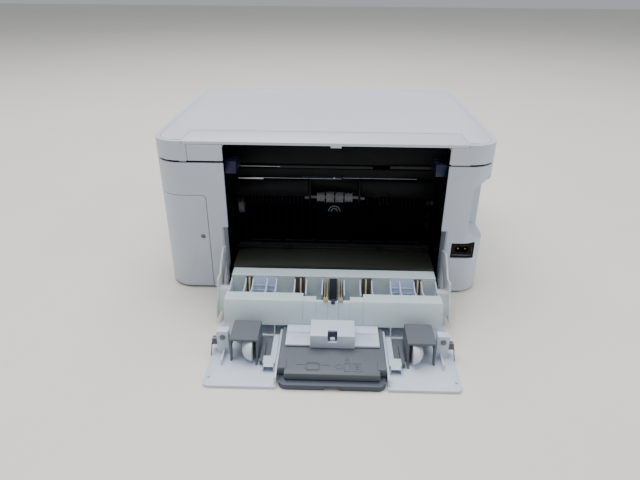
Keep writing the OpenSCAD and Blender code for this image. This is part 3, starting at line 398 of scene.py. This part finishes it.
# ------------------------------------------------------------------ guides, springs and screws on the door
def paper_guides():
    grey, dome, tabs, dark = bmesh.new(), bmesh.new(), bmesh.new(), bmesh.new()
    for s in (-1, 1):
        def both(bm, r0, r1, s0, s1, z0, z1):
            door(bm, *sorted((s * r0, s * r1)), s0, s1, z0, z1)
        prism(grey, [(REAR + a, z) for a, z in ((108, 26.4), (108, 28), (140, 28), (141, 26), (139.5, 26.2))],
              SLOT + s * 76, SLOT + s * 105)
        prism(grey, [(REAR + a, z) for a, z in ((108, 3), (108, 27.9), (140.5, 27.9), (141, 22), (144.5, 8), (150, 3))],
              SLOT + s * 76, SLOT + s * 78.2)
        prism(grey, [(REAR + a, z) for a, z in ((108, 3), (108, 27.9), (140.5, 27.9), (142, 8), (144, 3), (139, 3),
                                               (136, 18), (112, 18), (112, 3))], SLOT + s * 103, SLOT + s * 105)
        both(grey, 76, 105, 107, 109, 3, 28)
        both(grey, 58, 76.5, 104, 138, 3, 5)
        both(grey, 70, 74, 118, 149, 3, 9)
        both(tabs, 57.6, 63.6, 104, 141, 5, 7.2)
        both(tabs, 57.6, 70.4, 141, 152, 3, 9)
        both(tabs, 57.6, 59.2, 152, 158, 3, 9)
        both(tabs, 68.8, 70.4, 152, 158, 3, 9)
        both(tabs, 57.6, 70.4, 152, 158, 8, 9)
        both(dark, 59.2, 68.8, 152, 153, 3.2, 8)
        n, m = 20, 12
        c = Vector((SLOT + s * 81.5, REAR + 135.8, 14.2)) * MM
        rows = []
        for i in range(m + 1):
            a = math.pi / 2 * i / m
            rows.append([dome.verts.new(c + Vector((s * 12.6 * math.sin(a) * 0.95, 15.4 * math.cos(a) * math.cos(t),
                                                    11.3 * math.cos(a) * math.sin(t))) * MM)
                         for t in (2 * math.pi * k / n for k in range(n))])
        for p, q in zip(rows, rows[1:]):
            for k in range(n):
                dome.faces.new((p[k], p[(k + 1) % n], q[(k + 1) % n], q[k]))
        dome.faces.new(rows[0])
    finish_piece("paper_guide_brackets", "rear_door", "mid", grey, 0.4, 2, ("paper_guides",))
    bmesh.ops.remove_doubles(dome, verts=dome.verts, dist=1e-5)
    finish_piece("paper_guide_domes", "rear_door", "dome", dome, 0.3, 2)
    finish_piece("door_tabs", "rear_door", "inner", tabs, 0.4, 2)
    finish_piece("door_tab_slots", "rear_door", "dark", dark, 0.1, 1)


def door_hardware():
    wire, screws, legs = bmesh.new(), bmesh.new(), bmesh.new()
    for s in (-1, 1):
        pts = [(SLOT + s * (121 + 5.2 * i / 90), REAR + 124 + 4 * math.cos(i * 0.42), 14 + 4 * math.sin(i * 0.42))
               for i in range(91)]
        tube(wire, pts, 0.6, 8)
        tube(wire, [pts[-1], (SLOT + s * 126.2, REAR + 132, 8), (SLOT + s * 126.2, REAR + 137, 4)], 0.6, 8)
        pts = [(SLOT + s * (114.5 + 4 * i / 60), REAR + 117 + 3.2 * math.cos(i * 0.5), 9 + 3.2 * math.sin(i * 0.5))
               for i in range(61)]
        tube(wire, pts, 0.5, 8)
        tube(wire, [(SLOT + s * 118.5, REAR + 117, 12), (SLOT + s * 121, REAR + 114, 20),
                    (SLOT + s * 119, REAR + 112, 22)], 0.5, 8)
        tube(screws, [(SLOT + s * 120, REAR + 124, 14), (SLOT + s * 127, REAR + 124, 14)], 1.9, 20)
        tube(screws, [(SLOT + s * 114, REAR + 131, 23), (SLOT + s * 114, REAR + 132.3, 23)], 3.0, 24)
        tube(screws, [(SLOT + s * 114, REAR + 132.3, 23), (SLOT + s * 114, REAR + 132.9, 23)], 1.7, 24)
        tube(legs, [(SLOT + s * 122, REAR + 168, 2.9), (SLOT + s * 122, REAR + 168, 4.6)], 1.3, 20)
    finish_piece("door_springs", "rear_door", "darksteel", wire, 0.1, 1, ("door_hardware",))
    finish_piece("door_screws", "rear_door", "darksteel", screws, 0.25, 2)
    finish_piece("door_stop_pegs", "rear_door", "inner", legs, 0.3, 2)


def embossing():
    """Generic raised outlines on the paper support, and its two side grips."""
    bm = bmesh.new()
    z0, z1, w = 13.95, 14.4, 0.55

    def line(x0, s0, x1, s1):
        if abs(x0 - x1) > abs(s0 - s1):
            door(bm, min(x0, x1), max(x0, x1), s0 - w / 2, s0 + w / 2, z0, z1)
        else:
            door(bm, x0 - w / 2, x0 + w / 2, min(s0, s1), max(s0, s1), z0, z1)

    def rect(x0, x1, s0, s1):
        line(x0, s0, x1, s0)
        line(x0, s1, x1, s1)
        line(x0, s0, x0, s1)
        line(x1, s0, x1, s1)

    rect(13.6, 24.9, 156, 168)
    rect(12, 26.5, 158, 166)
    line(27.5, 159.5, 35, 159.5)
    line(11, 159.5, 3, 159.5)
    rect(-18, -12, 156.5, 168)
    rect(-29, -20.5, 156.5, 168)
    for s in (159.5, 162, 164.5):
        line(-27, s, -22.5, s)
    for c, r in (((-6.8, 161.5), 3.2), ((-15, 151.2), 2.2)):
        n = 4 if r < 3 else 20
        tube(bm, [(SLOT + c[0] + r * math.cos(2 * math.pi * i / n),
                   REAR + c[1] + r * math.sin(2 * math.pi * i / n), 14.1) for i in range(n + 1)], 0.3, 6)
    finish_piece("support_embossing", "paper_support", "mid", bm, 0.1, 1)
    bm = bmesh.new()
    for s in (-1, 1):
        door(bm, *sorted((s * 45, s * 53.4)), 152, 165.6, 13.9, 14.7)
    finish_piece("support_side_grips", "paper_support", "mid", bm, 0.4, 2)
    bm = bmesh.new()
    door(bm, -48.9, 48.9, 98.4, 111.5, 16.7, 17.4)
    door(bm, -2.4, 2.4, 127, 130.5, 19, 23.5)
    finish_piece("latch_box_step", "rear_door", "inner", bm, 0.3, 2)


# ------------------------------------------------------------------ details inside the rear opening
def interior():
    pale, dark, grey, white, pins = (bmesh.new() for _ in range(5))
    inside(pale, 55, 114.5, 49.5, 50.5, 146.2, 146.8)
    inside(dark, -140.5, -80, 48, 56, 146, 149.5)
    inside(dark, -60, 60, 60, 61.5, 141.2, 144.4)
    inside(pale, -21, 92, 60.2, 61, 127.2, 127.7)
    inside(pale, -116, -23, 60.2, 61, 128.4, 128.8)
    inside(pale, 78, 110, 61, 61.9, 125.4, 127)
    tube(white, [(-12, REAR - 60.4, 128.3), (-12, REAR - 61.6, 128.3)], 0.9, 16)
    tube(grey, [(106, REAR - 71, 84.3), (112.5, REAR - 71, 84.3)], 9.5, 40)
    for k in range(2):
        r = 7.4 - 3.4 * k
        tube(grey, [(-12.8 + r * math.cos(math.pi * i / 16), REAR - 62.5, 81.6 + r * math.sin(math.pi * i / 16))
                    for i in range(17)], 0.9, 10)
    for i in range(5):
        inside(dark, SLOT - 112 + 46 * i, SLOT - 112 + 46 * i + 40, 64, 65, 36.5, 38)
        inside(dark, SLOT - 112 + 46 * i, SLOT - 112 + 46 * i + 40, 60, 61, 33, 35.4)
    inside(pale, SLOT - 120, SLOT + 118, 58.6, 59.4, 31, 31.7)
    bezel = bmesh.new()
    for x0, x1, z0, z1 in ((-183.7, -181.3, 48.8, 69.7), (-157.7, -155.3, 48.8, 69.7), (-181.3, -157.7, 48.8, 51.6),
                           (-181.3, -157.7, 67.4, 69.7)):
        inside(bezel, x0, x1, 3.2, 4.4, z0, z1)
    finish_piece("inlet_bezel", "chassis", "black", bezel, 0.2, 2)
    deck = bmesh.new()
    for r0, r1 in ((111, 129), (54, 70), (-65, -56), (-128, -117)):
        inside(deck, SLOT + r0, SLOT + r1, 52, 55, 31.6, 33)
    inside(deck, SLOT - 127, SLOT + 127, 56, 60, 32, 36.4)
    finish_piece("sill_dark_bar", "chassis", "dark", deck, 0.3, 2)
    ring = bmesh.new()
    tube(ring, [(146 + 3.3 * math.cos(t), REAR - 0.3, 73 + 3.3 * math.sin(t)) for t in
                (math.pi * k / 12 for k in range(25))], 0.25, 8)
    finish_piece("cover_screw_rim", "chassis", "steel", ring, 0.1, 1)
    for x in (-173.8, -165.2):
        tube(pins, [(x, REAR - 21, 59.5), (x, REAR - 8, 59.5), (x, REAR - 7, 59.5)], 1.15, 16)
    finish_piece("interior_light_edges", "chassis", "silver", pale, 0.1, 1)
    finish_piece("interior_dark_ledges", "chassis", "dark", dark, 0.2, 1)
    finish_piece("interior_roller_ends", "chassis", "mid", grey, 0.3, 2)
    finish_piece("interior_white_peg", "chassis", "inner", white, 0.2, 2)
    finish_piece("inlet_pins", "chassis", "brass", pins, 0.3, 2)


def lid_seam():
    """A thin dark strip in the gap round the document lid: painted shade standing in for the shadow in the seam."""
    bm = bmesh.new()
    hw, r, rim, depth, z = 197 - 5.75, 25.2, 5.75, 304 - 5.75, 189.2
    pts = []
    for cx, cd, a0 in ((hw - r, rim + r, -90), (hw - r, depth - r, 0), (-hw + r, depth - r, 90),
                       (-hw + r, rim + r, 180)):
        for k in range(9):
            a = math.radians(a0 + 90 * k / 8)
            pts.append((cx + r * math.cos(a), REAR - (cd + r * math.sin(a)), z))
    # painted shade: a dark tube laid in the lid's seam where only the gap's shadow is
    tube(bm, pts, 0.2, 6)
    finish_piece("lid_seam_painted_shade", "scanner_unit", "dark", bm, 0.05, 1)


lid_seam()
turn_guide()
paper_guides()
door_hardware()
embossing()
interior()


# ------------------------------------------------------------------ stage
def floor():
    bm = bmesh.new()
    bmesh.ops.create_grid(bm, x_segments=2, y_segments=2, size=6)
    mesh = bpy.data.meshes.new("floor")
    bm.to_mesh(mesh)
    bm.free()
    o = bpy.data.objects.new("floor", mesh)
    bpy.context.scene.collection.objects.link(o)
    mesh.materials.append(plastic("table_top", (0.80, 0.76, 0.67), 0.5, grain=600, depth=0.00003, vary=0.02, spread=3))


def area(name, loc, look, size, power, color=(1, 1, 1)):
    li = bpy.data.lights.new(name, "AREA")
    li.shape = "RECTANGLE"
    li.size, li.size_y = size
    li.energy = power
    li.color = color
    o = bpy.data.objects.new(name, li)
    bpy.context.scene.collection.objects.link(o)
    o.location = loc
    o.rotation_euler = (Vector(look) - Vector(loc)).to_track_quat("-Z", "Y").to_euler()


floor()
area("ceiling", (0.3, -0.5, 2.2), (0, 0, 0.1), (2.6, 2.0), 84, (0.96, 0.98, 1.0))
area("window", (-2.2, 0.6, 1.5), (0, 0.1, 0.1), (1.6, 1.4), 20, (0.90, 0.95, 1.0))
area("back_fill", (0.6, 2.6, 1.3), (0, 0.1, 0.1), (2.2, 1.2), 5, (0.88, 0.94, 1.0))
world = bpy.data.worlds.new("studio")
world.use_nodes = True
world.node_tree.nodes["Background"].inputs["Color"].default_value = (0.80, 0.84, 0.90, 1)
world.node_tree.nodes["Background"].inputs["Strength"].default_value = 0.5
bpy.context.scene.world = world


def camera():
    """A look down at the rear from about 0.56 m behind it, with a slight roll and yaw."""
    pitch, roll, yaw = 0.47575, 0.00791, -0.02527
    px, py, pz = -3.974, -561.683, 360.554
    cr, sr = math.cos(roll), math.sin(roll)
    fwd = Vector((0, math.cos(pitch), -math.sin(pitch)))
    up0 = Vector((0, math.sin(pitch), math.cos(pitch)))
    right0 = Vector((1, 0, 0))
    right = cr * right0 + sr * up0
    up = -sr * right0 + cr * up0
    turn = Matrix.Rotation(-yaw, 3, "Z")
    flip = Matrix.Rotation(math.pi, 3, "Z")
    r, u, f = (flip @ (turn @ v) for v in (right, up, fwd))
    pos = flip @ (turn @ Vector((px, py, pz))) + Vector((0, REAR, 0))
    cam = bpy.data.cameras.new("camera")
    cam.sensor_width = 36
    cam.lens = FOCAL_PER_WIDTH * cam.sensor_width
    cam.clip_start = 0.01
    o = bpy.data.objects.new("camera", cam)
    bpy.context.scene.collection.objects.link(o)
    o.matrix_world = Matrix(((r.x, u.x, -f.x, pos.x * MM), (r.y, u.y, -f.y, pos.y * MM),
                             (r.z, u.z, -f.z, pos.z * MM), (0, 0, 0, 1)))
    bpy.context.scene.camera = o


camera()
bpy.context.view_layer.update()
